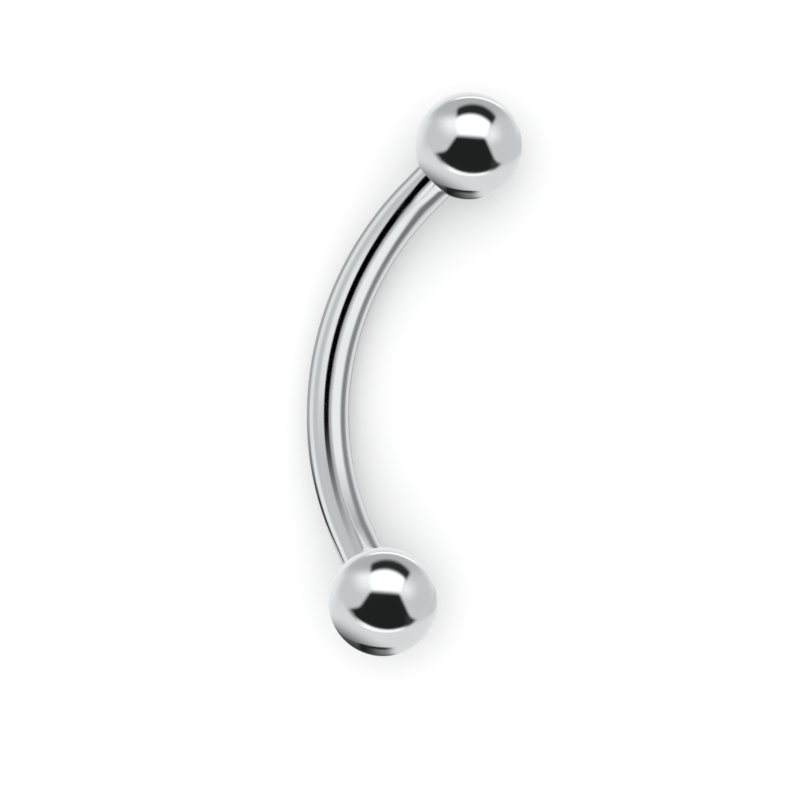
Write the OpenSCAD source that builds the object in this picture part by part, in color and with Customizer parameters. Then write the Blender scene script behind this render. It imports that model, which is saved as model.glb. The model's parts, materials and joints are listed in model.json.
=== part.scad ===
// Curved eyebrow barbell: a bent round bar with a ball screwed on each threaded end.
// It lies as it rests on a table, on both balls and the outside of the bend. X runs through the two
// ball centres, Y points to the outside of the bend, and the origin is under the middle of the whole.

/* [Bar] */
// Thickness of the bar
bar_d = 1.2; // [1:0.1:1.6]
// Straight distance between the two balls when they are screwed home
wear_length = 10; // [10:0.5:13]
// Radius of the bend, measured to the middle of the bar
bend_r = 7.9; // [7:0.1:8.5]
// Half of the angle that the bar is bent through
bend_half_angle = 37.5; // [30:0.5:38]

/* [Balls] */
// Diameter of each ball
ball_d = 3; // [3:0.1:5]
// Wall left in the ball beyond the drill point
end_wall = 0.45; // [0.4:0.05:0.7]

/* [Thread] */
// Distance from one thread crest to the next
thread_pitch = 0.25; // [0.2:0.05:0.3]
// Height of the thread, from root to crest
thread_height = 0.12; // [0.08:0.01:0.14]
// Free space between the thread and its hole, and between the shoulder and its seat
thread_gap = 0.02; // [0.01:0.005:0.03]
// Step from the bar down to the thread crest, which is the shoulder that the ball seats on
shoulder_step = 0.03; // [0.02:0.01:0.05]

/* [Hidden] */
steel = [0.78, 0.79, 0.80];
$fn = 96;

bar_r = bar_d / 2;
ball_r = ball_d / 2;
crest_r = bar_r - shoulder_step;
root_r = crest_r - thread_height;
bore_r = crest_r + thread_gap;
seat_r = bar_r + 2 * thread_gap;

// The bend lies in a plane. Its two ends run straight from the bend to the ball centres.
half_centres = (wear_length + ball_d) / 2;
straight_l = (half_centres - bend_r * sin(bend_half_angle)) / cos(bend_half_angle);
arc_rise = bend_r * (1 - cos(bend_half_angle));
straight_rise = straight_l * sin(bend_half_angle);
bend_rise = arc_rise + straight_rise;

// A turned end starts a little way inside the bend, and is a hair thinner, so they meet as one piece.
join_l = 0.05;
join_step = 0.002;
turned_r = bar_r - join_step;

// The bend leans over until the middle of the bar touches the table between the two balls.
lean = asin((ball_r - bar_r) / bend_rise);
bend_reach = bend_rise * cos(lean) + bar_r;
chord_y = (ball_r - bend_reach) / 2;

// Along each end's own axis, 0 is the ball's centre and negative is towards the bar.
// The ball's mouth is a 45 degree cone that the shoulder's own cone faces across the gap.
seat_z = -sqrt(ball_r * ball_r - seat_r * seat_r);
seat_floor_z = seat_z + seat_r - bore_r;
shoulder_z = seat_floor_z - thread_gap * sqrt(2);

// The ball's hole has a 118 degree drill point.
drill_tip_z = ball_r - end_wall;
bore_floor_z = drill_tip_z - bore_r / tan(59);

// The stud has as many crests as the hole has room for.
flank_l = thread_height * tan(30);
crest_l = (thread_pitch - 2 * flank_l) / 2;
relief_l = thread_pitch / 2;
tip_chamfer = thread_height / 2;
tip_room = 0.02;
thread_start_z = shoulder_z + relief_l;
thread_turns = floor((bore_floor_z - tip_room - tip_chamfer - thread_start_z) / thread_pitch);
thread_end_z = thread_start_z + thread_turns * thread_pitch;

// How far the cut of the ball's mouth starts outside the ball
cut_margin = 0.01;

// Lays the plane of the bend down on its three points of rest
module at_rest() {
    translate([0, chord_y, ball_r])
        rotate([-lean, 0, 0])
            children();
}

// Puts a shape drawn along +Z from a ball's centre, pointing away from the bar, onto one end
module at_end(side) {
    translate([side * half_centres, 0, 0])
        rotate([0, 0, side > 0 ? -bend_half_angle : 180 + bend_half_angle])
            rotate([0, 90, 0])
                children();
}

// The bent length of the bar, between its two straight ends
module bend() {
    translate([0, bend_rise - bend_r, 0])
        rotate([0, 0, 90 - bend_half_angle])
            rotate_extrude(angle = 2 * bend_half_angle)
                translate([bend_r, 0])
                    circle(r = bar_r);
}

// One thread crest of the stud's outline, from the root before it to the root after it
function crest_outline(z) = [
    [root_r, z],
    [crest_r, z + flank_l],
    [crest_r, z + flank_l + crest_l],
    [root_r, z + 2 * flank_l + crest_l]
];

// Straight length, shoulder, relief groove, thread and chamfered tip, turned as one outline
module turned_end() {
    straight = [[0, -straight_l - join_l], [turned_r, -straight_l - join_l]];
    shoulder = [[turned_r, shoulder_z - turned_r + crest_r], [crest_r, shoulder_z]];
    relief = [[root_r, shoulder_z + tip_chamfer]];
    crests = [for (i = [0 : thread_turns - 1]) each crest_outline(thread_start_z + i * thread_pitch)];
    tip = [[root_r, thread_end_z], [root_r - tip_chamfer, thread_end_z + tip_chamfer]];
    middle = [[0, thread_end_z + tip_chamfer]];
    rotate_extrude()
        polygon(concat(straight, shoulder, relief, crests, tip, middle));
}

module curved_bar() {
    color(steel)
        at_rest() {
            bend();
            for (side = [-1, 1])
                at_end(side)
                    turned_end();
        }
}

// Ball with a countersunk blind hole, drawn with its mouth facing -Z
module drilled_ball() {
    mouth_z = -ball_r - cut_margin;
    mouth_r = seat_r + seat_z - mouth_z;
    difference() {
        sphere(r = ball_r);
        rotate_extrude()
            polygon([
                [0, mouth_z],
                [mouth_r, mouth_z],
                [bore_r, seat_floor_z],
                [bore_r, bore_floor_z],
                [0, drill_tip_z]
            ]);
    }
}

module ball(side) {
    color(steel)
        at_rest()
            at_end(side)
                drilled_ball();
}

module upper_ball() {
    ball(1);
}

module lower_ball() {
    ball(-1);
}

curved_bar();
upper_ball();
lower_ball();
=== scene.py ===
import json
import math
import bmesh
import bpy
from mathutils import Matrix, Vector


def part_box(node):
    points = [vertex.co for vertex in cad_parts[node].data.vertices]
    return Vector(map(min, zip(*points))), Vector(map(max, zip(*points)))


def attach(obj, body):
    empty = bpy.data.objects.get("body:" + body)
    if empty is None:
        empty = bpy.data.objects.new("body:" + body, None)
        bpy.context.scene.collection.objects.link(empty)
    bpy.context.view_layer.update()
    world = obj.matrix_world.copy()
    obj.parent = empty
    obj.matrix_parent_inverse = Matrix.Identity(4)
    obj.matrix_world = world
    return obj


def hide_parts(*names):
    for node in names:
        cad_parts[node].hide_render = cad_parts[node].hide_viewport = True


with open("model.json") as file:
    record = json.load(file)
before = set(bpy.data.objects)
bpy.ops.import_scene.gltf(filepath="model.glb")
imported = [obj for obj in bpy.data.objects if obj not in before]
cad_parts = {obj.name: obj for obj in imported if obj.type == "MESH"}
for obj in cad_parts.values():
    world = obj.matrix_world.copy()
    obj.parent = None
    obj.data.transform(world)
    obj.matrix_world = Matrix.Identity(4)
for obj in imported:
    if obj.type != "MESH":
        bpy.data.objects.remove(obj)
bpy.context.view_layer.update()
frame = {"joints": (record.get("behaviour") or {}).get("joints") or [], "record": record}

mm = 0.001

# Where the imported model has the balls, the ends of the bar and the middle of its bend
sides = {"upper": "upper_ball", "lower": "lower_ball"}
centres = {}
outwards = {}
for side, node in sides.items():
    low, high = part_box(node)
    centres[side] = (low + high) / 2
    joint = next(j for j in frame["joints"] if j["child"] == node)
    outwards[side] = Vector(joint["axis"]).normalized()
shaft = frame["record"]["mounts"][0]
bendMiddle = Vector(shaft["pos_m"])

# The plane of the bend: chord from ball to ball, and bulge towards the outside of the bend
chord = (centres["upper"] - centres["lower"]).normalized()
chordMiddle = (centres["upper"] + centres["lower"]) / 2
halfChord = (centres["upper"] - centres["lower"]).length / 2
bendHalfAngle = outwards["upper"].angle(chord)
bulge = (chord * math.cos(bendHalfAngle) - outwards["upper"]).normalized()
print("frame: ball centres %.2f mm apart, bend %.1f degrees"
      % (2 * halfChord / mm, 2 * math.degrees(bendHalfAngle)))


# Node helpers, for geometry and shader trees alike

def add(tree, kind, values=None, **settings):
    node = tree.nodes.new(kind)
    for name, value in settings.items():
        setattr(node, name, value)
    for name, value in (values or {}).items():
        plug(tree, node.inputs[name], value)
    return node


def plug(tree, socket, value):
    if isinstance(value, bpy.types.NodeSocket):
        tree.links.new(value, socket)
    else:
        socket.default_value = value


def calc(tree, operation, *values, clamp=False):
    node = tree.nodes.new("ShaderNodeMath")
    node.operation = operation
    node.use_clamp = clamp
    for socket, value in zip(node.inputs, values):
        plug(tree, socket, value)
    return node.outputs[0]


def vectorCalc(tree, operation, *values):
    node = tree.nodes.new("ShaderNodeVectorMath")
    node.operation = operation
    for socket, value in zip(node.inputs, values):
        plug(tree, socket, value)
    return node.outputs["Value" if operation in ("DOT_PRODUCT", "LENGTH", "DISTANCE") else "Vector"]


def scaled(tree, vector, size):
    return add(tree, "ShaderNodeVectorMath", {0: vector, "Scale": size}, operation="SCALE").outputs[0]


def ramp(tree, value, start, end, low=0.0, high=1.0, smooth=True):
    # from low to high as value goes from start to end
    kind = "SMOOTHSTEP" if smooth else "LINEAR"
    node = add(tree, "ShaderNodeMapRange", interpolation_type=kind)
    for socket, number in zip(node.inputs, (value, start, end, low, high)):
        plug(tree, socket, number)
    return node.outputs[0]


def newTree(name, kind, inputs, outputs):
    tree = bpy.data.node_groups.new(name, kind)
    for direction, sockets in (("INPUT", inputs), ("OUTPUT", outputs)):
        for label, (socketType, default) in sockets.items():
            socket = tree.interface.new_socket(label, in_out=direction, socket_type=socketType)
            if default is not None:
                socket.default_value = default
    return tree, tree.nodes.new("NodeGroupInput").outputs, tree.nodes.new("NodeGroupOutput")


floatSocket = "NodeSocketFloat"
vectorSocket = "NodeSocketVector"


# Camera, set from the photo: where its pixels have the balls, and how it looks down on the bend

shot = {
    "imageSize": 800,           # pixels
    "distance": 60 * mm,        # from the middle between the balls
    "pixelsPerMm": 35.8,        # at that distance
    "leanFromTop": 7.1,         # degrees from straight above, towards the open side of the bend
    "leanToLowerBall": 4.0,     # degrees from straight above, along the chord
    "roll": 10.7,               # degrees clockwise
    "middleX": 426,             # pixel of the middle between the balls
    "middleY": 372,
    "sensor": 36,               # millimetres
    "sees": (1 * mm, 10),       # nearest and furthest, metres
}


def cameraAxes():
    alongChord = math.radians(shot["leanToLowerBall"])
    fromTop = math.radians(shot["leanFromTop"])
    back = Vector((-math.sin(alongChord), -math.sin(fromTop) * math.cos(alongChord),
                   math.cos(fromTop) * math.cos(alongChord)))
    upright = (chord - back * chord.dot(back)).normalized()
    level = upright.cross(back)
    roll = math.radians(shot["roll"])
    right = upright * math.sin(roll) + level * math.cos(roll)
    up = upright * math.cos(roll) - level * math.sin(roll)
    return right, up, back


imageRight, imageUp, towardsCamera = cameraAxes()


def makeCamera():
    data = bpy.data.cameras.new("shot")
    perPixel = mm / shot["pixelsPerMm"]
    data.sensor_width = shot["sensor"]
    data.lens = shot["sensor"] * shot["distance"] / (shot["imageSize"] * perPixel)
    data.clip_start, data.clip_end = shot["sees"]
    camera = bpy.data.objects.new("shot", data)
    bpy.context.scene.collection.objects.link(camera)
    asideX = (shot["middleX"] - shot["imageSize"] / 2) * perPixel
    asideY = (shot["imageSize"] / 2 - shot["middleY"]) * perPixel
    place = chordMiddle + towardsCamera * shot["distance"] - imageRight * asideX - imageUp * asideY
    turn = Matrix((imageRight, imageUp, towardsCamera)).transposed()
    camera.matrix_world = Matrix.Translation(place) @ turn.to_4x4()
    bpy.context.scene.camera = camera
    return camera


cameraPlace = makeCamera().matrix_world.translation.copy()
bpy.context.scene.view_settings.view_transform = "Standard"
print("camera set")


# Outlines, as lists of (distance from the axis, place along the axis)

def arcPoints(middle, radius, start, end, steps):
    # angles in degrees from the axis
    points = []
    for i in range(steps + 1):
        angle = math.radians(start + (end - start) * i / steps)
        points.append(Vector((radius * math.sin(angle), middle + radius * math.cos(angle))))
    return points


def brokenCorner(before, corner, after, size, steps=5):
    # a corner with its edge taken off, as a short curve
    corner = Vector(corner)
    start = corner + (Vector(before) - corner).normalized() * size
    end = corner + (Vector(after) - corner).normalized() * size
    return [start.lerp(corner, i / steps).lerp(corner.lerp(end, i / steps), i / steps)
            for i in range(steps + 1)]


def evenRows(radius, start, end, longest):
    steps = max(1, math.ceil(abs(end - start) / longest))
    return [Vector((radius, start + (end - start) * i / steps)) for i in range(steps + 1)]


# Sizes of the thread, which the bar and the balls share

thread = {
    "pitch": 0.25 * mm,
    "height": 0.12 * mm,        # of the ridge on the stud
    "gap": 0.02 * mm,           # all round between the stud and its hole
    "shoulderStep": 0.03 * mm,  # from the bar down to the crest
    "grooveDepth": 0.07 * mm,   # of the thread cut in the ball
    "rootShare": 0.22,          # of half a pitch, flat at the root
    "flankShare": 0.56,         # of half a pitch, sloping
    "rowsPerTurn": 24,
    "turns": 7,
}

bar = {
    "radius": shaft["dims"]["r_mm"] * mm,
    "cornerSize": 0.012 * mm,
    "segments": 96,
    "bendSteps": 120,
    "straightRow": 0.1 * mm,
}

ball = {
    "radius": 1.5 * mm,
    "endWall": 0.45 * mm,       # left beyond the drill point
    "drillAngle": 118,          # degrees
    "cornerSize": 0.02 * mm,
    "segments": 144,
    "sphereSteps": 96,
    "rowsPerTurn": 16,
}

meshing = {
    "sharpAngle": 35,              # degrees, past which a corner is a sharp edge
    "mergeDistance": 0.0001 * mm,  # closes the seam and the poles of a turned piece
}

crestRadius = bar["radius"] - thread["shoulderStep"]
rootRadius = crestRadius - thread["height"]
boreRadius = crestRadius + thread["gap"]
seatRadius = bar["radius"] + 2 * thread["gap"]

# Along each end's own axis, 0 is the ball's centre and positive is outwards
seatStart = -math.sqrt(ball["radius"] ** 2 - seatRadius ** 2)
seatFloor = seatStart + seatRadius - boreRadius
shoulderStart = seatFloor - thread["gap"] * math.sqrt(2)
drillTip = ball["radius"] - ball["endWall"]
boreFloor = drillTip - boreRadius / math.tan(math.radians(ball["drillAngle"] / 2))
tipChamfer = thread["height"] / 2
threadStart = shoulderStart + thread["pitch"] / 2
threadEnd = threadStart + thread["turns"] * thread["pitch"]
studTip = threadEnd + tipChamfer


# Geometry Nodes: the ridge or groove of a thread, from a place along the axis and a share of a turn

def makeThreadTree():
    tree, given, result = newTree(
        "threadForm", "GeometryNodeTree",
        {"Along": (floatSocket, None), "Turn Share": (floatSocket, None),
         "Pitch": (floatSocket, thread["pitch"]), "Root Share": (floatSocket, thread["rootShare"]),
         "Flank Share": (floatSocket, thread["flankShare"])},
        {"Height Share": (floatSocket, None)})
    turns = calc(tree, "DIVIDE", given["Along"], given["Pitch"])
    turns = calc(tree, "SUBTRACT", turns, given["Turn Share"])
    fromCrest = calc(tree, "ABSOLUTE", calc(tree, "SUBTRACT", calc(tree, "FRACT", turns), 0.5))
    towardsCrest = calc(tree, "MULTIPLY_ADD", fromCrest, -2.0, 1.0)
    crest = calc(tree, "ADD", given["Root Share"], given["Flank Share"])
    tree.links.new(ramp(tree, towardsCrest, given["Root Share"], crest), result.inputs[0])
    return tree


threadTree = makeThreadTree()


def finishTree(tree, mesh, material, result):
    # sharp edges only where two turned faces meet at a real corner
    bentBy = tree.nodes.new("GeometryNodeInputMeshEdgeAngle").outputs[0]
    corner = calc(tree, "GREATER_THAN", bentBy, math.radians(meshing["sharpAngle"]))
    cut = add(tree, "GeometryNodeInputNamedAttribute", {"Name": "cut"}, data_type="FLOAT").outputs[0]
    sharp = calc(tree, "GREATER_THAN", calc(tree, "SUBTRACT", corner, cut), 0.5)
    smooth = add(tree, "GeometryNodeSetShadeSmooth", {"Geometry": mesh}, domain="FACE")
    edged = add(tree, "GeometryNodeSetShadeSmooth",
                {"Geometry": smooth.outputs[0], "Selection": sharp, "Shade Smooth": False}, domain="EDGE")
    real = add(tree, "GeometryNodeRealizeInstances", {"Geometry": edged.outputs[0]})
    dressed = add(tree, "GeometryNodeSetMaterial", {"Geometry": real.outputs[0], "Material": material})
    tree.links.new(dressed.outputs[0], result.inputs[0])


def keepAttribute(tree, geometry, name, kind, value):
    return add(tree, "GeometryNodeStoreNamedAttribute",
               {"Geometry": geometry, "Name": name, "Value": value}, data_type=kind).outputs[0]


# Geometry Nodes: a turned piece, from the outline that its object holds as a line of points

def makeTurnedTree():
    tree, given, result = newTree(
        "turnedPiece", "GeometryNodeTree",
        {"Outline": ("NodeSocketGeometry", None), "Segments": ("NodeSocketInt", 96),
         "Pitch": (floatSocket, thread["pitch"]), "Groove Depth": (floatSocket, 0.0),
         "Place": (vectorSocket, None), "Turn": ("NodeSocketRotation", None),
         "Material": ("NodeSocketMaterial", None)},
        {"Piece": ("NodeSocketGeometry", None)})
    outlineSize = add(tree, "GeometryNodeAttributeDomainSize", {"Geometry": given["Outline"]})
    rows = outlineSize.outputs["Point Count"]
    columns = calc(tree, "ADD", given["Segments"], 1)
    grid = add(tree, "GeometryNodeMeshGrid",
               {"Size X": 1.0, "Size Y": 1.0, "Vertices X": columns, "Vertices Y": rows})
    position = tree.nodes.new("GeometryNodeInputPosition").outputs[0]
    gridPlace = add(tree, "ShaderNodeSeparateXYZ", {0: position})
    turnShare = calc(tree, "ADD", gridPlace.outputs["X"], 0.5)
    lastRow = calc(tree, "SUBTRACT", rows, 1)
    rowShare = calc(tree, "ADD", gridPlace.outputs["Y"], 0.5)
    row = calc(tree, "ROUND", calc(tree, "MULTIPLY", rowShare, lastRow))
    outlinePoint = add(tree, "GeometryNodeSampleIndex", {"Geometry": given["Outline"], "Index": row},
                       data_type="FLOAT_VECTOR")
    tree.links.new(position, outlinePoint.inputs["Value"])
    outlineCut = add(tree, "GeometryNodeSampleIndex", {"Geometry": given["Outline"], "Index": row},
                     data_type="FLOAT")
    cutHere = add(tree, "GeometryNodeInputNamedAttribute", {"Name": "cut"}, data_type="FLOAT").outputs[0]
    tree.links.new(cutHere, outlineCut.inputs["Value"])
    cut = outlineCut.outputs[0]
    point = add(tree, "ShaderNodeSeparateXYZ", {0: outlinePoint.outputs[0]})
    along = point.outputs["Z"]
    form = add(tree, "GeometryNodeGroup",
               {"Along": along, "Turn Share": turnShare, "Pitch": given["Pitch"]}, node_tree=threadTree)
    depth = calc(tree, "MULTIPLY", calc(tree, "MULTIPLY", form.outputs[0], cut), given["Groove Depth"])
    radius = calc(tree, "ADD", point.outputs["X"], depth)
    angle = calc(tree, "MULTIPLY", turnShare, 2 * math.pi)
    turned = add(tree, "ShaderNodeCombineXYZ",
                 {"X": calc(tree, "MULTIPLY", radius, calc(tree, "COSINE", angle)),
                  "Y": calc(tree, "MULTIPLY", radius, calc(tree, "SINE", angle)), "Z": along}).outputs[0]
    marked = keepAttribute(tree, grid.outputs["Mesh"], "cut", "FLOAT", cut)
    marked = keepAttribute(tree, marked, "grain", "FLOAT_VECTOR", turned)
    shaped = add(tree, "GeometryNodeSetPosition", {"Geometry": marked, "Position": turned})
    closed = add(tree, "GeometryNodeMergeByDistance",
                 {"Geometry": shaped.outputs[0], "Distance": meshing["mergeDistance"]})
    outward = add(tree, "GeometryNodeFlipFaces", {"Mesh": closed.outputs[0]})
    placed = add(tree, "GeometryNodeTransform",
                 {"Geometry": outward.outputs[0], "Translation": given["Place"], "Rotation": given["Turn"]})
    finishTree(tree, placed.outputs[0], given["Material"], result)
    return tree


# Geometry Nodes: a bent bar, from the route that its object holds as a line of points with a radius each

def makeBarTree():
    tree, given, result = newTree(
        "bentBar", "GeometryNodeTree",
        {"Route": ("NodeSocketGeometry", None), "Segments": ("NodeSocketInt", 96),
         "Pitch": (floatSocket, thread["pitch"]), "Thread Height": (floatSocket, thread["height"]),
         "Thread From Tip": (floatSocket, 0.0), "Thread To": (floatSocket, 0.0),
         "Run Out": (floatSocket, thread["pitch"] / 2), "Material": ("NodeSocketMaterial", None)},
        {"Piece": ("NodeSocketGeometry", None)})
    route = add(tree, "GeometryNodeMeshToCurve", {0: given["Route"]}).outputs[0]
    routeLength = tree.nodes.new("GeometryNodeSplineLength").outputs["Length"]
    along = tree.nodes.new("GeometryNodeSplineParameter").outputs["Length"]
    fromTip = calc(tree, "MINIMUM", along, calc(tree, "SUBTRACT", routeLength, along))
    kept = add(tree, "GeometryNodeCaptureAttribute", {"Geometry": route})
    position = tree.nodes.new("GeometryNodeInputPosition").outputs[0]
    for kind, label, value in (("VECTOR", "centre", position), ("FLOAT", "along", along),
                               ("FLOAT", "fromTip", fromTip)):
        kept.capture_items.new(kind, label)
        tree.links.new(value, kept.inputs[label])
    ring = add(tree, "GeometryNodeCurvePrimitiveCircle", {"Resolution": given["Segments"], "Radius": 1.0})
    turn = add(tree, "GeometryNodeCaptureAttribute", {"Geometry": ring.outputs[0]})
    turn.capture_items.new("FLOAT", "turnShare")
    roundRing = tree.nodes.new("GeometryNodeSplineParameter").outputs["Factor"]
    tree.links.new(roundRing, turn.inputs["turnShare"])
    radius = add(tree, "GeometryNodeInputNamedAttribute", {"Name": "radius"}, data_type="FLOAT").outputs[0]
    tube = add(tree, "GeometryNodeCurveToMesh",
               {"Curve": kept.outputs[0], "Profile Curve": turn.outputs[0], "Scale": radius,
                "Fill Caps": True}).outputs[0]
    form = add(tree, "GeometryNodeGroup",
               {"Along": kept.outputs["along"], "Turn Share": turn.outputs["turnShare"],
                "Pitch": given["Pitch"]}, node_tree=threadTree)
    afterTip = ramp(tree, kept.outputs["fromTip"], given["Thread From Tip"],
                    calc(tree, "ADD", given["Thread From Tip"], given["Run Out"]))
    beforeEnd = ramp(tree, kept.outputs["fromTip"], given["Thread To"],
                     calc(tree, "SUBTRACT", given["Thread To"], given["Run Out"]))
    threaded = calc(tree, "MULTIPLY", afterTip, beforeEnd)
    ridge = calc(tree, "MULTIPLY", form.outputs[0], threaded)
    ridge = calc(tree, "MULTIPLY", ridge, given["Thread Height"])
    sideways = vectorCalc(tree, "SUBTRACT", position, kept.outputs["centre"])
    lift = scaled(tree, vectorCalc(tree, "NORMALIZE", sideways), ridge)
    angle = calc(tree, "MULTIPLY", turn.outputs["turnShare"], 2 * math.pi)
    grain = add(tree, "ShaderNodeCombineXYZ",
                {"X": calc(tree, "MULTIPLY", calc(tree, "COSINE", angle), bar["radius"]),
                 "Y": calc(tree, "MULTIPLY", calc(tree, "SINE", angle), bar["radius"]),
                 "Z": kept.outputs["along"]}).outputs[0]
    isCut = calc(tree, "LESS_THAN", kept.outputs["fromTip"], given["Thread To"])
    marked = keepAttribute(tree, tube, "cut", "FLOAT", isCut)
    marked = keepAttribute(tree, marked, "grain", "FLOAT_VECTOR", grain)
    shaped = add(tree, "GeometryNodeSetPosition", {"Geometry": marked, "Offset": lift})
    finishTree(tree, shaped.outputs[0], given["Material"], result)
    return tree


def linePiece(name, points, numbers):
    # a line of points with a number each, which a tree turns into the piece
    mesh = bpy.data.meshes.new(name + "Line")
    mesh.from_pydata(points, [(i, i + 1) for i in range(len(points) - 1)], [])
    for label, values in numbers.items():
        mesh.attributes.new(label, "FLOAT", "POINT").data.foreach_set("value", values)
    host = bpy.data.objects.new(name + "Line", mesh)
    bpy.context.scene.collection.objects.link(host)
    return host


def runTree(host, tree, values, name):
    # sets the tree's inputs, and keeps its result as a plain mesh under the piece's name
    modifier = host.modifiers.new(tree.name, "NODES")
    modifier.node_group = tree
    for item in tree.interface.items_tree:
        if item.in_out == "INPUT" and item.name in values:
            modifier[item.identifier] = values[item.name]
    view = bpy.context.evaluated_depsgraph_get()
    mesh = bpy.data.meshes.new_from_object(host.evaluated_get(view), preserve_all_data_layers=True,
                                           depsgraph=view)
    mesh.name = name
    if mesh.materials[0] is None:  # the empty slot that a grid starts with
        mesh.materials.pop(index=0)
    bpy.data.objects.remove(host)
    piece = bpy.data.objects.new(name, mesh)
    bpy.context.scene.collection.objects.link(piece)
    triangles = sum(len(face.vertices) - 2 for face in mesh.polygons)
    print("%s: %d triangles" % (name, triangles))
    return piece


# Shader groups for the marks that both steels have

steelMarks = {
    "lineRange": (0.35, 0.7),      # of the noise, from no polishing line to a full one
    "cloudSize": 1.3,              # millimetres
    "cloudRange": (0.45, 0.75),
    "cloudHaze": 0.3,
    "hairCells": 0.6,              # millimetres from one scratch to the next
    "hairWidth": 0.006,
    "hairSlant": (1.0, 0.35, 0.6),
    "hairRange": (0.5, 0.62),
    "hairHaze": 0.5,
    "hairRoughness": 0.1,
    "lineRelief": 0.3,             # share of a scratch's depth
}


def makePolishGroup():
    # fine lines left by the polishing wheel: stretched noise, from 0 to 1
    tree, given, result = newTree(
        "polishLines", "ShaderNodeTree",
        {"Vector": (vectorSocket, None), "Stretch": (vectorSocket, (1, 1, 1)),
         "Line Width": (floatSocket, 0.02)},
        {"Lines": (floatSocket, None)})
    inMm = vectorCalc(tree, "DIVIDE", given["Vector"], (mm, mm, mm))
    stretched = vectorCalc(tree, "MULTIPLY", inMm, given["Stretch"])
    scale = calc(tree, "DIVIDE", 1.0, given["Line Width"])
    noise = add(tree, "ShaderNodeTexNoise", {"Vector": stretched, "Scale": scale, "Detail": 3.0})
    tree.links.new(ramp(tree, noise.outputs["Fac"], *steelMarks["lineRange"]), result.inputs[0])
    return tree


def makeSmudgeGroup():
    # soft patches where the shine is a little clouded, from 0 to 1
    tree, given, result = newTree(
        "clouding", "ShaderNodeTree",
        {"Vector": (vectorSocket, None), "Size": (floatSocket, 1.0)},
        {"Clouds": (floatSocket, None)})
    inMm = vectorCalc(tree, "DIVIDE", given["Vector"], (mm, mm, mm))
    noise = add(tree, "ShaderNodeTexNoise",
                {"Vector": inMm, "Scale": calc(tree, "DIVIDE", 1.0, given["Size"]), "Detail": 4.0,
                 "Roughness": 0.6, "Distortion": 0.6})
    tree.links.new(ramp(tree, noise.outputs["Fac"], *steelMarks["cloudRange"]), result.inputs[0])
    return tree


def makeScratchGroup():
    # sparse hairline scratches: thin cell borders of a stretched pattern, kept in a few patches
    tree, given, result = newTree(
        "hairScratches", "ShaderNodeTree",
        {"Vector": (vectorSocket, None), "Cell Size": (floatSocket, 0.5), "Width": (floatSocket, 0.01)},
        {"Scratches": (floatSocket, None)})
    inMm = vectorCalc(tree, "DIVIDE", given["Vector"], (mm, mm, mm))
    slanted = vectorCalc(tree, "MULTIPLY", inMm, steelMarks["hairSlant"])
    scale = calc(tree, "DIVIDE", 1.0, given["Cell Size"])
    borders = add(tree, "ShaderNodeTexVoronoi", {"Vector": slanted, "Scale": scale},
                  feature="DISTANCE_TO_EDGE")
    hair = ramp(tree, borders.outputs["Distance"], given["Width"], 0.0)
    noise = add(tree, "ShaderNodeTexNoise", {"Vector": inMm, "Scale": scale, "Detail": 1.0})
    here = ramp(tree, noise.outputs["Fac"], *steelMarks["hairRange"])
    tree.links.new(calc(tree, "MULTIPLY", hair, here), result.inputs[0])
    return tree


polishGroup = makePolishGroup()
smudgeGroup = makeSmudgeGroup()
scratchGroup = makeScratchGroup()


barFinish = {
    "tone": (0.78, 0.79, 0.80),
    "hazyTone": (0.73, 0.74, 0.755),
    "cutTone": (0.60, 0.60, 0.61),   # bare cut metal down in the thread
    "roughness": 0.06,
    "lineRoughness": 0.03,
    "cloudRoughness": 0.05,
    "cutRoughness": 0.16,
    "lineStretch": (1.0, 1.0, 0.03),  # long lines that run along the bar
    "lineWidth": 0.02,               # millimetres
    "bumpDepth": 0.00004,            # millimetres
}
ballFinish = {
    "tone": (0.79, 0.80, 0.81),
    "hazyTone": (0.74, 0.75, 0.765),
    "cutTone": (0.55, 0.55, 0.56),
    "roughness": 0.05,
    "lineRoughness": 0.02,
    "cloudRoughness": 0.05,
    "cutRoughness": 0.18,
    "lineStretch": (0.12, 0.12, 1.0),  # rings round the ball's own axis
    "lineWidth": 0.03,
    "bumpDepth": 0.00003,
}


def groupNode(tree, group, values):
    return add(tree, "ShaderNodeGroup", values, node_tree=group).outputs


def mixColours(tree, share, first, second):
    node = add(tree, "ShaderNodeMix", data_type="RGBA")
    plug(tree, node.inputs[0], share)
    for socket, colour in ((node.inputs[6], first), (node.inputs[7], second)):
        plug(tree, socket, colour if isinstance(colour, bpy.types.NodeSocket) else (*colour, 1))
    return node.outputs[2]


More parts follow.
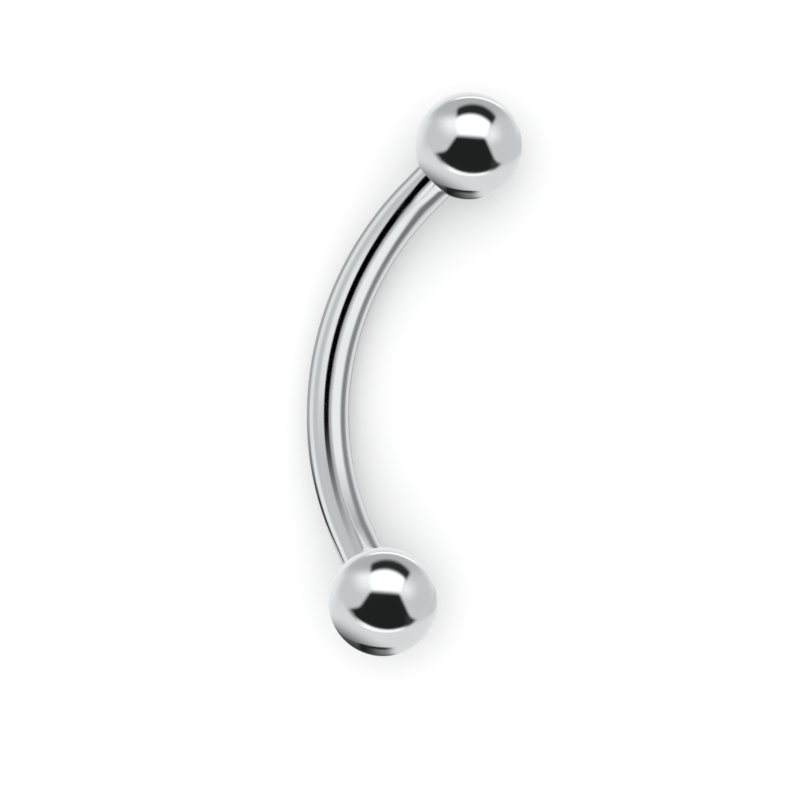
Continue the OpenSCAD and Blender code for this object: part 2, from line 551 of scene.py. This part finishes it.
def makeSteel(name, finish):
    material = bpy.data.materials.new(name)
    material.use_nodes = True
    tree = material.node_tree
    shader = tree.nodes["Principled BSDF"]
    grain = add(tree, "ShaderNodeAttribute", attribute_name="grain").outputs["Vector"]
    cut = add(tree, "ShaderNodeAttribute", attribute_name="cut").outputs["Fac"]
    place = tree.nodes.new("ShaderNodeTexCoord").outputs["Object"]
    lines = groupNode(tree, polishGroup, {"Vector": grain, "Stretch": finish["lineStretch"],
                                          "Line Width": finish["lineWidth"]})[0]
    clouds = groupNode(tree, smudgeGroup, {"Vector": place, "Size": steelMarks["cloudSize"]})[0]
    hairs = groupNode(tree, scratchGroup, {"Vector": grain, "Cell Size": steelMarks["hairCells"],
                                           "Width": steelMarks["hairWidth"]})[0]
    hairHaze = calc(tree, "MULTIPLY", hairs, steelMarks["hairHaze"])
    haze = calc(tree, "MULTIPLY_ADD", clouds, steelMarks["cloudHaze"], hairHaze, clamp=True)
    tone = mixColours(tree, haze, finish["tone"], finish["hazyTone"])
    tree.links.new(mixColours(tree, cut, tone, finish["cutTone"]), shader.inputs["Base Color"])
    rough = calc(tree, "MULTIPLY_ADD", lines, finish["lineRoughness"], finish["roughness"])
    rough = calc(tree, "MULTIPLY_ADD", clouds, finish["cloudRoughness"], rough)
    rough = calc(tree, "MULTIPLY_ADD", hairs, steelMarks["hairRoughness"], rough)
    rough = calc(tree, "MULTIPLY_ADD", cut, finish["cutRoughness"], rough)
    tree.links.new(rough, shader.inputs["Roughness"])
    shader.inputs["Metallic"].default_value = 1.0
    lineRelief = calc(tree, "MULTIPLY", lines, steelMarks["lineRelief"])
    relief = calc(tree, "MULTIPLY_ADD", hairs, -1.0, lineRelief)
    bump = add(tree, "ShaderNodeBump",
               {"Strength": 1.0, "Distance": finish["bumpDepth"] * mm, "Height": relief})
    tree.links.new(bump.outputs[0], shader.inputs["Normal"])
    return material


barSteel = makeSteel("barSteel", barFinish)
ballSteel = makeSteel("ballSteel", ballFinish)
print("steel materials made")


# The bar: route from the upper stud's tip round the bend to the lower stud's tip

def halfBarRows():
    # (radius, place along the end's axis) from the tip back to the start of the bend
    neck = Vector((rootRadius, shoulderStart + tipChamfer))
    shoulder = Vector((crestRadius, shoulderStart))
    barStart = Vector((bar["radius"], shoulderStart - thread["shoulderStep"]))
    bendStart = Vector((bar["radius"], -straightLength))
    rows = [Vector((rootRadius - tipChamfer, studTip))]
    rows += evenRows(rootRadius, threadEnd, threadStart, thread["pitch"] / thread["rowsPerTurn"])
    rows += brokenCorner(rows[-1], neck, shoulder, bar["cornerSize"])
    rows += brokenCorner(neck, barStart, bendStart, bar["cornerSize"])
    rows += evenRows(bar["radius"], barStart.y - bar["straightRow"], bendStart.y, bar["straightRow"])
    return rows


# Radius of the bend and length of the straight ends, from the frame
rise = (bendMiddle - chordMiddle).dot(bulge)
sinBend = math.sin(bendHalfAngle)
cosBend = math.cos(bendHalfAngle)
bendRadius = (halfChord * sinBend - rise * cosBend) / (sinBend ** 2 - (1 - cosBend) * cosBend)
straightLength = (halfChord - bendRadius * sinBend) / cosBend
bendCentre = chordMiddle + bulge * (rise - bendRadius)


def barRoute():
    points = []
    radii = []
    for row in halfBarRows():
        points.append(centres["upper"] + outwards["upper"] * row.y)
        radii.append(row.x)
    for i in range(1, bar["bendSteps"]):
        angle = bendHalfAngle * (1 - 2 * i / bar["bendSteps"])
        points.append(bendCentre + (chord * math.sin(angle) + bulge * math.cos(angle)) * bendRadius)
        radii.append(bar["radius"])
    for row in reversed(halfBarRows()):
        points.append(centres["lower"] + outwards["lower"] * row.y)
        radii.append(row.x)
    return points, radii


def makeBar():
    points, radii = barRoute()
    host = linePiece("bar", points, {"radius": radii})
    values = {"Segments": bar["segments"], "Pitch": thread["pitch"], "Thread Height": thread["height"],
              "Thread From Tip": tipChamfer, "Thread To": studTip - threadStart,
              "Run Out": thread["pitch"] / 2, "Material": barSteel}
    return runTree(host, makeBarTree(), values, "bent_bar")


# A ball: outside, countersunk mouth, tapped hole and drill point, as one outline

def ballOutline():
    mouthAngle = 180 - math.degrees(math.asin(seatRadius / ball["radius"]))
    outside = arcPoints(0, ball["radius"], 0, mouthAngle, ball["sphereSteps"])
    mouth = outside.pop()
    floorEdge = Vector((boreRadius, seatFloor))
    boreEnd = Vector((boreRadius, boreFloor))
    points = outside[:-1]
    points += brokenCorner(outside[-1], mouth, floorEdge, ball["cornerSize"])
    points += brokenCorner(mouth, floorEdge, boreEnd, ball["cornerSize"])
    points += evenRows(boreRadius, seatFloor + thread["pitch"] / 4, boreFloor,
                       thread["pitch"] / ball["rowsPerTurn"])
    points.append(Vector((0, drillTip)))
    cuts = []
    for point in points:
        inBore = abs(point.x - boreRadius) < thread["gap"] / 4 and seatFloor < point.y < boreFloor
        room = min(point.y - seatFloor, boreFloor - point.y) if inBore else 0
        cuts.append(min(1, max(0, room / thread["pitch"])))
    return points, cuts


ballTree = makeTurnedTree()


def makeBall(side):
    points, cuts = ballOutline()
    host = linePiece(side + "Ball", [(point.x, 0, point.y) for point in points], {"cut": cuts})
    turn = outwards[side].to_track_quat("Z", "Y").to_euler()
    values = {"Segments": ball["segments"], "Pitch": thread["pitch"], "Groove Depth": thread["grooveDepth"],
              "Place": centres[side], "Turn": turn, "Material": ballSteel}
    return runTree(host, ballTree, values, side + "_steel_ball")


barPiece = makeBar()
ballPieces = {side: makeBall(side) for side in sides}

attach(barPiece, "bar")
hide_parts("curved_bar")
for side, node in sides.items():
    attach(ballPieces[side], node)
    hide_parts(node)


# Floor: plain and pale. The steel mirrors it from close by, and low on the balls beside the bar.
# Elsewhere the light tents show through it

floorLook = {
    "radius": 0.6,
    "sides": 96,
    "tone": (0.90, 0.90, 0.90),
    "mottle": 0.01,             # how much paler it is in places
    "mottleScale": 60,
    "mirrored": (0.2 * mm, 0.6 * mm),  # way of the mirrored ray, from whole to not at all
    "mirroredShadeShare": 0.78,       # share of its own brightness: painted shade, the floor is darker where the steel mirrors it
    "lowOnBall": (0.82, 0.76),  # way of the mirrored ray over the distance from the ball's foot
    "roundFoot": (8 * mm, 4.5 * mm),
    "besideBar": (52, 64),      # degrees away from the bar's own direction
}


def lowOnBall(tree, place, way, side):
    # 1 where the lower half of a ball mirrors this place on the floor, beside the bar and not under it
    foot = Vector((centres[side].x, centres[side].y, 0))
    barDirection = Vector((-outwards[side].x, -outwards[side].y, 0)).normalized()
    offset = vectorCalc(tree, "SUBTRACT", place, tuple(foot))
    reach = vectorCalc(tree, "LENGTH", offset)
    low = ramp(tree, calc(tree, "DIVIDE", way, reach), *floorLook["lowOnBall"])
    near = ramp(tree, reach, *floorLook["roundFoot"])
    facing = vectorCalc(tree, "DOT_PRODUCT", vectorCalc(tree, "NORMALIZE", offset), tuple(barDirection))
    beside = ramp(tree, facing, *(math.cos(math.radians(angle)) for angle in floorLook["besideBar"]))
    return calc(tree, "MULTIPLY", calc(tree, "MULTIPLY", low, near), beside)


def makeFloor():
    mesh = bpy.data.meshes.new("floor")
    angles = [2 * math.pi * i / floorLook["sides"] for i in range(floorLook["sides"])]
    ring = [(floorLook["radius"] * math.cos(a), floorLook["radius"] * math.sin(a), 0) for a in angles]
    mesh.from_pydata(ring, [], [list(range(len(ring)))])
    floor = bpy.data.objects.new("floor", mesh)
    bpy.context.scene.collection.objects.link(floor)
    material = bpy.data.materials.new("paleBoard")
    material.use_nodes = True
    tree = material.node_tree
    tree.nodes.clear()
    place = tree.nodes.new("ShaderNodeTexCoord").outputs["Object"]
    noise = add(tree, "ShaderNodeTexNoise",
                {"Vector": place, "Scale": floorLook["mottleScale"], "Detail": 2.0})
    paler = tuple(min(1, c + floorLook["mottle"]) for c in floorLook["tone"])
    tone = mixColours(tree, noise.outputs["Fac"], floorLook["tone"], paler)
    ray = tree.nodes.new("ShaderNodeLightPath").outputs
    # painted shade: in the steel's mirror images the floor's colour is darkened
    paintedMirrorShade = calc(tree, "MULTIPLY_ADD", ray["Is Glossy Ray"], floorLook["mirroredShadeShare"] - 1, 1.0)
    board = add(tree, "ShaderNodeBsdfDiffuse", {"Color": scaled(tree, tone, paintedMirrorShade)}).outputs[0]
    far = ramp(tree, ray["Ray Length"], *floorLook["mirrored"])
    for side in sides:
        low = lowOnBall(tree, place, ray["Ray Length"], side)
        far = calc(tree, "MULTIPLY", far, calc(tree, "SUBTRACT", 1.0, low))
    unseen = calc(tree, "MULTIPLY", far, ray["Is Glossy Ray"])
    clear = tree.nodes.new("ShaderNodeBsdfTransparent").outputs[0]
    both = add(tree, "ShaderNodeMixShader", {0: unseen, 1: board, 2: clear}).outputs[0]
    add(tree, "ShaderNodeOutputMaterial", {"Surface": both})
    mesh.materials.append(material)


makeFloor()
print("floor made")


# Soft light on the floor from all round and a pale backdrop; the steel mirrors the tents instead

studio = {
    "backdrop": 1.0,
    "softLight": 1.25,
    "tint": (0.985, 1.0, 1.0),  # of the tents
    "barTent": 15 * mm,         # radius
    "barTentHeight": 0.54,      # share of the radius: low, so each length of the bar mirrors its own part
    "barTentLight": 0.80,       # between the stripes
    "ballTents": {"upper": 2.2, "lower": 2.4},  # radius, metres: two alike would hide each other
    "ballTentLight": 0.70,      # between the panels
    "tentSteps": 6,             # how finely a dome is divided
}


def makeWorld():
    world = bpy.data.worlds.new("paleStudio")
    world.use_nodes = True
    tree = world.node_tree
    ray = tree.nodes.new("ShaderNodeLightPath").outputs
    seen = calc(tree, "MULTIPLY", ray["Is Camera Ray"], studio["backdrop"] - studio["softLight"])
    light = calc(tree, "ADD", seen, studio["softLight"])
    strength = calc(tree, "MULTIPLY", light, calc(tree, "SUBTRACT", 1.0, ray["Is Glossy Ray"]))
    tree.links.new(strength, tree.nodes["Background"].inputs["Strength"])
    tree.nodes["Background"].inputs["Color"].default_value = (1, 1, 1, 1)
    bpy.context.scene.world = world


makeWorld()


# Light tents: each is a dome that lights only its own pieces, with panels and flags inside it

def makeProbeGroup():
    # where a ball mirrors this direction to the shot: x right and y up, 1 at the ball's edge
    tree, given, result = newTree(
        "whereMirrored", "ShaderNodeTree",
        {"Direction": (vectorSocket, None), "Towards Shot": (vectorSocket, None),
         "Right": (vectorSocket, None), "Up": (vectorSocket, None)},
        {"Spot": (vectorSocket, None)})
    away = vectorCalc(tree, "NORMALIZE", given["Direction"])
    facing = vectorCalc(tree, "NORMALIZE", vectorCalc(tree, "ADD", away, given["Towards Shot"]))
    spot = add(tree, "ShaderNodeCombineXYZ",
               {"X": vectorCalc(tree, "DOT_PRODUCT", facing, given["Right"]),
                "Y": vectorCalc(tree, "DOT_PRODUCT", facing, given["Up"])}).outputs[0]
    tree.links.new(spot, result.inputs["Spot"])
    return tree


def makeCircleGroup():
    # 1 inside a circle and 0 outside it, with a soft edge
    tree, given, result = newTree(
        "softCircle", "ShaderNodeTree",
        {"Spot": (vectorSocket, None), "Middle": (vectorSocket, None), "Radius": (floatSocket, 0.5),
         "Softness": (floatSocket, 0.02)},
        {"Inside": (floatSocket, None)})
    apart = vectorCalc(tree, "DISTANCE", given["Spot"], given["Middle"])
    outer = calc(tree, "ADD", given["Radius"], given["Softness"])
    inner = calc(tree, "SUBTRACT", given["Radius"], given["Softness"])
    tree.links.new(ramp(tree, apart, outer, inner), result.inputs[0])
    return tree


def makeEdgeGroup():
    # 1 on the side that a straight edge faces, and 0 behind it, with a soft edge
    tree, given, result = newTree(
        "softEdge", "ShaderNodeTree",
        {"Spot": (vectorSocket, None), "Middle": (vectorSocket, None), "Facing": (vectorSocket, None),
         "Softness": (floatSocket, 0.02)},
        {"Inside": (floatSocket, None)})
    offset = vectorCalc(tree, "SUBTRACT", given["Spot"], given["Middle"])
    past = vectorCalc(tree, "DOT_PRODUCT", offset, given["Facing"])
    behind = calc(tree, "MULTIPLY", given["Softness"], -1.0)
    tree.links.new(ramp(tree, past, behind, given["Softness"]), result.inputs[0])
    return tree


def makeBarGuessGroup():
    # for a guessed place round the bend, in radians: how far the bar there misses mirroring this spot of
    # the tent to the shot, and where across the bar it would show, from -1 at the outer edge to 1 at the
    # inner one
    tree, given, result = newTree(
        "guessOnBar", "ShaderNodeTree",
        {"Tent Spot": (vectorSocket, None), "Shot Place": (vectorSocket, None),
         "Angle": (floatSocket, 0.0)},
        {"Miss": (floatSocket, None), "Across": (floatSocket, None)})
    sine = calc(tree, "SINE", given["Angle"])
    cosine = calc(tree, "COSINE", given["Angle"])
    outer = vectorCalc(tree, "ADD", scaled(tree, tuple(bulge), cosine), scaled(tree, tuple(chord), sine))
    barLine = vectorCalc(tree, "SUBTRACT", scaled(tree, tuple(chord), cosine),
                         scaled(tree, tuple(bulge), sine))
    middle = vectorCalc(tree, "ADD", tuple(bendCentre), scaled(tree, outer, bendRadius))
    towardsShot = vectorCalc(tree, "NORMALIZE", vectorCalc(tree, "SUBTRACT", given["Shot Place"], middle))
    towardsSpot = vectorCalc(tree, "SUBTRACT", given["Tent Spot"], middle)
    facing = vectorCalc(tree, "NORMALIZE", towardsSpot)
    facing = vectorCalc(tree, "NORMALIZE", vectorCalc(tree, "ADD", facing, towardsShot))
    fromSkin = vectorCalc(tree, "SUBTRACT", towardsSpot, scaled(tree, facing, bar["radius"]))
    facing = vectorCalc(tree, "NORMALIZE", fromSkin)
    facing = vectorCalc(tree, "NORMALIZE", vectorCalc(tree, "ADD", facing, towardsShot))
    sideways = vectorCalc(tree, "NORMALIZE", vectorCalc(tree, "CROSS_PRODUCT", barLine, towardsShot))
    tree.links.new(vectorCalc(tree, "DOT_PRODUCT", facing, barLine), result.inputs["Miss"])
    tree.links.new(vectorCalc(tree, "DOT_PRODUCT", facing, sideways), result.inputs["Across"])
    return tree


barSearch = {
    "guesses": (0.0, 0.3),      # radians round the bend
    "furthest": 0.72,
    "steps": 3,
}


def makeBarPlaceGroup(guessGroup):
    # where the bar shows this spot of the tent: across it, and degrees round the bend from its middle,
    # more than 0 towards the upper ball. Each next guess goes straight through the last two
    tree, given, result = newTree(
        "whereOnBar", "ShaderNodeTree",
        {"Tent Spot": (vectorSocket, None), "Shot Place": (vectorSocket, None)},
        {"Across": (floatSocket, None), "Round": (floatSocket, None)})

    def tryAngle(angle):
        guess = groupNode(tree, guessGroup, {"Tent Spot": given["Tent Spot"],
                                             "Shot Place": given["Shot Place"], "Angle": angle})
        return angle, guess["Miss"], guess["Across"]

    before, latest = [tryAngle(angle) for angle in barSearch["guesses"]]
    for step in range(barSearch["steps"]):
        run = calc(tree, "SUBTRACT", latest[0], before[0])
        slope = calc(tree, "DIVIDE", calc(tree, "SUBTRACT", latest[1], before[1]), run)
        angle = calc(tree, "SUBTRACT", latest[0], calc(tree, "DIVIDE", latest[1], slope))
        angle = calc(tree, "MAXIMUM", angle, -barSearch["furthest"])
        angle = calc(tree, "MINIMUM", angle, barSearch["furthest"])
        before, latest = latest, tryAngle(angle)
    tree.links.new(latest[2], result.inputs["Across"])
    tree.links.new(calc(tree, "MULTIPLY", latest[0], math.degrees(1)), result.inputs["Round"])
    return tree


def makeStripeGroup():
    # 1 between two places across the bar and 0 beside them, with soft edges
    tree, given, result = newTree(
        "softStripe", "ShaderNodeTree",
        {"Across": (floatSocket, None), "From": (floatSocket, None), "To": (floatSocket, None),
         "Softness": (floatSocket, 0.02)},
        {"Inside": (floatSocket, None)})
    rising = ramp(tree, given["Across"], calc(tree, "SUBTRACT", given["From"], given["Softness"]),
                  calc(tree, "ADD", given["From"], given["Softness"]))
    falling = ramp(tree, given["Across"], calc(tree, "ADD", given["To"], given["Softness"]),
                   calc(tree, "SUBTRACT", given["To"], given["Softness"]))
    tree.links.new(calc(tree, "MULTIPLY", rising, falling), result.inputs[0])
    return tree


probeGroup = makeProbeGroup()
circleGroup = makeCircleGroup()
edgeGroup = makeEdgeGroup()
barPlaceGroup = makeBarPlaceGroup(makeBarGuessGroup())
stripeGroup = makeStripeGroup()


def layOver(tree, below, light, mask):
    node = add(tree, "ShaderNodeMix", data_type="FLOAT")
    for socket, value in zip((node.inputs[0], node.inputs[2], node.inputs[3]), (mask, below, light)):
        plug(tree, socket, value)
    return node.outputs[0]


def within(x, y, radius, soft):
    return "within", (x, y), radius, soft


def beyond(x, y, radius, soft):
    return "beyond", (x, y), radius, soft


def leftOf(start, end, soft):
    # on the left, going from start to end
    return "leftOf", start, end, soft


def partMask(tree, spot, part):
    kind, first, second, soft = part
    if kind == "leftOf":
        facing = Vector((first[1] - second[1], second[0] - first[0], 0)).normalized()
        return groupNode(tree, edgeGroup, {"Spot": spot, "Middle": (*first, 0), "Facing": tuple(facing),
                                           "Softness": soft})[0]
    mask = groupNode(tree, circleGroup, {"Spot": spot, "Middle": (*first, 0), "Radius": second,
                                         "Softness": soft})[0]
    return mask if kind == "within" else calc(tree, "SUBTRACT", 1.0, mask)


# The balls' tents: a soft window with a haze on both sides, black flags above and below it, and a pale
# board under all that darkens to the lower left. Each panel lies over those before it
windowTop = (0.03, 0.09, 0.502)
openingBottom = (0.10, 0.32, 0.835)
lowLine = (0.08, 0.90, 1.735)
ballPanels = {
    "paleRim": {"light": 0.96, "shape": [beyond(0.05, 0, 0.90, 0.08)]},
    "greyTop": {"light": 0.54, "shape": [within(0, 0, 0.905, 0.04), leftOf((-1, 0.55), (1, 0.55), 0.15)]},
    "thinTopLine": {"light": 1.4, "shape": [
        beyond(0.026, -0.105, 0.99, 0.01), within(0.026, -0.105, 1.015, 0.01),
        leftOf((0.66, 0.5), (0.60, 0.9), 0.12), leftOf((-0.26, 0.9), (-0.26, 0.5), 0.12)]},
    "lowerBoard": {"light": 0.85, "shape": [
        beyond(0.076, 0.311, 0.862, 0.02), leftOf((1, 0), (-1, 0), 0.2)]},
    "rightSide": {"light": 0.69, "shape": [
        beyond(0.076, 0.311, 0.862, 0.04), within(-0.19, 1.216, 1.804, 0.05),
        leftOf((0.5, 0), (0.5, -1), 0.06)]},
    "leftHaze": {"light": 1.12, "shape": [
        within(-0.28, 0.43, 0.20, 0.17), leftOf((1, 0.53), (-1, 0.53), 0.10)]},
    "rightHaze": {"light": 1.1, "shape": [within(0.42, 0.22, 0.12, 0.16)]},
    "window": {"light": 1.4, "shape": [
        within(*windowTop, 0.05), leftOf((-0.19, 0.21), (0.34, 0.17), 0.06),
        leftOf((-0.24, 0.6), (-0.20, 0.19), 0.07), leftOf((0.325, 0.15), (0.40, 0.43), 0.03)]},
    "arcFlag": {"light": 0.025, "shape": [
        beyond(*windowTop, 0.045), within(0.069, 0.241, 0.527, 0.045),
        leftOf((-0.215, 0.8), (-0.225, 0.5), 0.045), leftOf((0.44, 0.40), (0.53, 0.56), 0.045)]},
    "openingFlag": {"light": 0.018, "shape": [
        leftOf((0.33, 0.14), (-0.19, 0.18), 0.05), within(*openingBottom, 0.04),
        leftOf((-0.24, 0.16), (-0.42, -0.10), 0.04), leftOf((0.485, -0.25), (0.335, 0.08), 0.04)]},
    "openingLeftCorner": {"light": 0.018, "shape": [
        leftOf((-0.40, -0.095), (-0.62, -0.135), 0.045), within(0.10, 0.32, 0.85, 0.06),
        leftOf((-0.33, -1), (-0.33, 0), 0.03)]},
    "openingRightCorner": {"light": 0.045, "shape": [
        leftOf((0.62, -0.34), (0.44, -0.25), 0.045), within(*openingBottom, 0.04),
        leftOf((0.43, 0), (0.43, -1), 0.05)]},
    "smileLine": {"light": 1.22, "shape": [
        beyond(*openingBottom, 0.018), within(0.0675, 0.402, 0.965, 0.012),
        leftOf((1, -0.2), (-1, -0.2), 0.1), leftOf((-0.42, 0), (-0.42, -1), 0.12),
        leftOf((0.37, -1), (0.37, 0), 0.10)]},
    "lowShade": {"light": 0.40, "shape": [beyond(*lowLine, 0.012), leftOf((0.14, -1), (0.14, 0), 0.10)]},
    "lowerLeftFlag": {"light": 0.04, "shape": [leftOf((-0.04, -0.905), (-0.74, -0.515), 0.20)]},
    "lowDark": {"light": 0.012, "shape": [
        beyond(*lowLine, 0.012), leftOf((-0.2, -1), (-0.2, 0), 0.2),
        leftOf((-0.43, 0), (-0.43, -1), 0.06)]},
    "lowLine": {"light": 0.02, "shape": [
        beyond(*lowLine, 0.01), within(lowLine[0], lowLine[1], lowLine[2] + 0.045, 0.025),
        leftOf((0.13, -1), (0.13, 0), 0.14), leftOf((-0.42, 0), (-0.42, -1), 0.03)]},
    "lowEdge": {"light": 0.1, "shape": [
        beyond(0, 0, 0.975, 0.012), leftOf((0.2, -1), (0.2, 0), 0.12),
        leftOf((1, -0.5), (-1, -0.5), 0.1)]},
}


def paintBallTent(tree, place, middle):
    towardsShot = (cameraPlace - middle).normalized()
    right = (imageRight - towardsShot * imageRight.dot(towardsShot)).normalized()
    spot = groupNode(tree, probeGroup, {"Direction": place, "Towards Shot": towardsShot, "Right": right,
                                        "Up": towardsShot.cross(right)})[0]
    light = studio["ballTentLight"]
    for panel in ballPanels.values():
        mask = None
        for part in panel["shape"]:
            here = partMask(tree, spot, part)
            mask = here if mask is None else calc(tree, "MULTIPLY", mask, here)
        light = layOver(tree, light, panel["light"], mask)
    return light


# The bar's tent: stripes that run along the bend. Some get another light towards the upper or the lower
# ball, and some shift, widen or spread across the bar there
barStripes = {
    "outerBand": {"from": -1.2, "to": -0.45, "soft": 0.10, "light": 0.66},
    "outerBright": {"from": -0.47, "to": -0.15, "soft": 0.09, "light": 1.0, "upper": 0.70, "lower": 0.66,
                    "fade": (3, -24)},
    "middleBright": {"from": 0.18, "to": 0.61, "soft": 0.07, "light": 1.05, "lower": 0.50,
                     "fade": (-20, -42), "shift": -0.2},
    "flagShade": {"from": -0.05, "to": 0.17, "soft": 0.06, "light": 0.50, "lower": 0.60,
                  "fade": (-14, -40), "shift": -0.2},
    "blackFlag": {"from": -0.215, "to": 0.045, "soft": 0.035, "light": 0.0, "lower": 0.62,
                  "fade": (-13, -46), "shift": -0.17, "widen": 0.065},
    "greyBand": {"from": 0.60, "to": 0.82, "soft": 0.08, "light": 0.27, "upper": 0.22, "lower": 0.30,
                 "shift": -0.14, "spread": 0.12},
    "innerBright": {"from": 0.84, "to": 1.2, "soft": 0.05, "light": 0.88},
    "outerShine": {"from": -0.86, "to": -0.70, "soft": 0.06, "light": 0.93, "lower": 1.0},
    "outerLine": {"from": -1.2, "to": -0.88, "soft": 0.03, "light": 0.45, "lower": 0.02,
                  "fade": (-10, -34)},
    "innerLine": {"from": 0.965, "to": 1.2, "soft": 0.02, "light": 0.40, "lower": 0.6},
}
barFade = {
    "end": 40,                  # degrees from the bend's middle where a shift is whole
    "power": 4,                 # how late a shift sets in
    "lowerShift": 0.5,          # share of each shift at the lower ball
    "middle": (-5, 5),          # where that share changes
    "upper": (14, 36),
    "lower": (-12, -30),
}


def paintBarTent(tree, place, middle):
    where = groupNode(tree, barPlaceGroup, {"Tent Spot": place, "Shot Place": cameraPlace})
    turned = where["Round"]
    curl = calc(tree, "ABSOLUTE", calc(tree, "DIVIDE", turned, barFade["end"]))
    curl = calc(tree, "POWER", curl, barFade["power"])
    share = ramp(tree, turned, *barFade["middle"], barFade["lowerShift"], 1.0)
    curl = calc(tree, "MULTIPLY", curl, share)
    upper = ramp(tree, turned, *barFade["upper"])
    light = studio["barTentLight"]
    for stripe in barStripes.values():
        across = calc(tree, "MULTIPLY_ADD", curl, -stripe.get("shift", 0), where["Across"])
        widen = stripe.get("widen", 0) / barFade["end"]
        start = calc(tree, "MULTIPLY_ADD", turned, -widen, stripe["from"])
        start = calc(tree, "MULTIPLY_ADD", curl, -stripe.get("spread", 0), start)
        mask = groupNode(tree, stripeGroup, {"Across": across, "From": start, "To": stripe["to"],
                                             "Softness": stripe["soft"]})[0]
        here = layOver(tree, stripe["light"], stripe.get("upper", stripe["light"]), upper)
        lower = ramp(tree, turned, *stripe.get("fade", barFade["lower"]))
        here = layOver(tree, here, stripe.get("lower", stripe["light"]), lower)
        light = layOver(tree, light, here, mask)
    return light


def makeTent(part, radius, height, piece, middle, paint):
    name = part + "Tent"
    mesh = bpy.data.meshes.new(name)
    dome = bmesh.new()
    bmesh.ops.create_icosphere(dome, subdivisions=studio["tentSteps"], radius=radius)
    bmesh.ops.scale(dome, vec=(1, 1, height), verts=dome.verts)
    dome.to_mesh(mesh)
    dome.free()
    material = bpy.data.materials.new(name)
    material.use_nodes = True
    material.cycles.emission_sampling = "NONE"
    tree = material.node_tree
    tree.nodes.clear()
    light = paint(tree, tree.nodes.new("ShaderNodeTexCoord").outputs["Object"], middle)
    glow = add(tree, "ShaderNodeEmission", {"Color": (*studio["tint"], 1), "Strength": light}).outputs[0]
    clear = tree.nodes.new("ShaderNodeBsdfTransparent").outputs[0]
    both = add(tree, "ShaderNodeAddShader", {0: glow, 1: clear}).outputs[0]
    add(tree, "ShaderNodeOutputMaterial", {"Surface": both})
    mesh.materials.append(material)
    tent = bpy.data.objects.new(name, mesh)
    bpy.context.scene.collection.objects.link(tent)
    for kind in ("camera", "diffuse", "transmission", "volume_scatter", "shadow"):
        setattr(tent, "visible_" + kind, False)
    lit = bpy.data.collections.new(name + "Lights")
    lit.objects.link(piece)
    tent.light_linking.receiver_collection = lit
    piece.visible_glossy = False  # the pieces mirror their tents, and not each other


makeTent("bar", studio["barTent"], studio["barTentHeight"], barPiece, chordMiddle, paintBarTent)
for side, radius in studio["ballTents"].items():
    makeTent(side, radius, 1, ballPieces[side], centres[side], paintBallTent)
print("studio made")
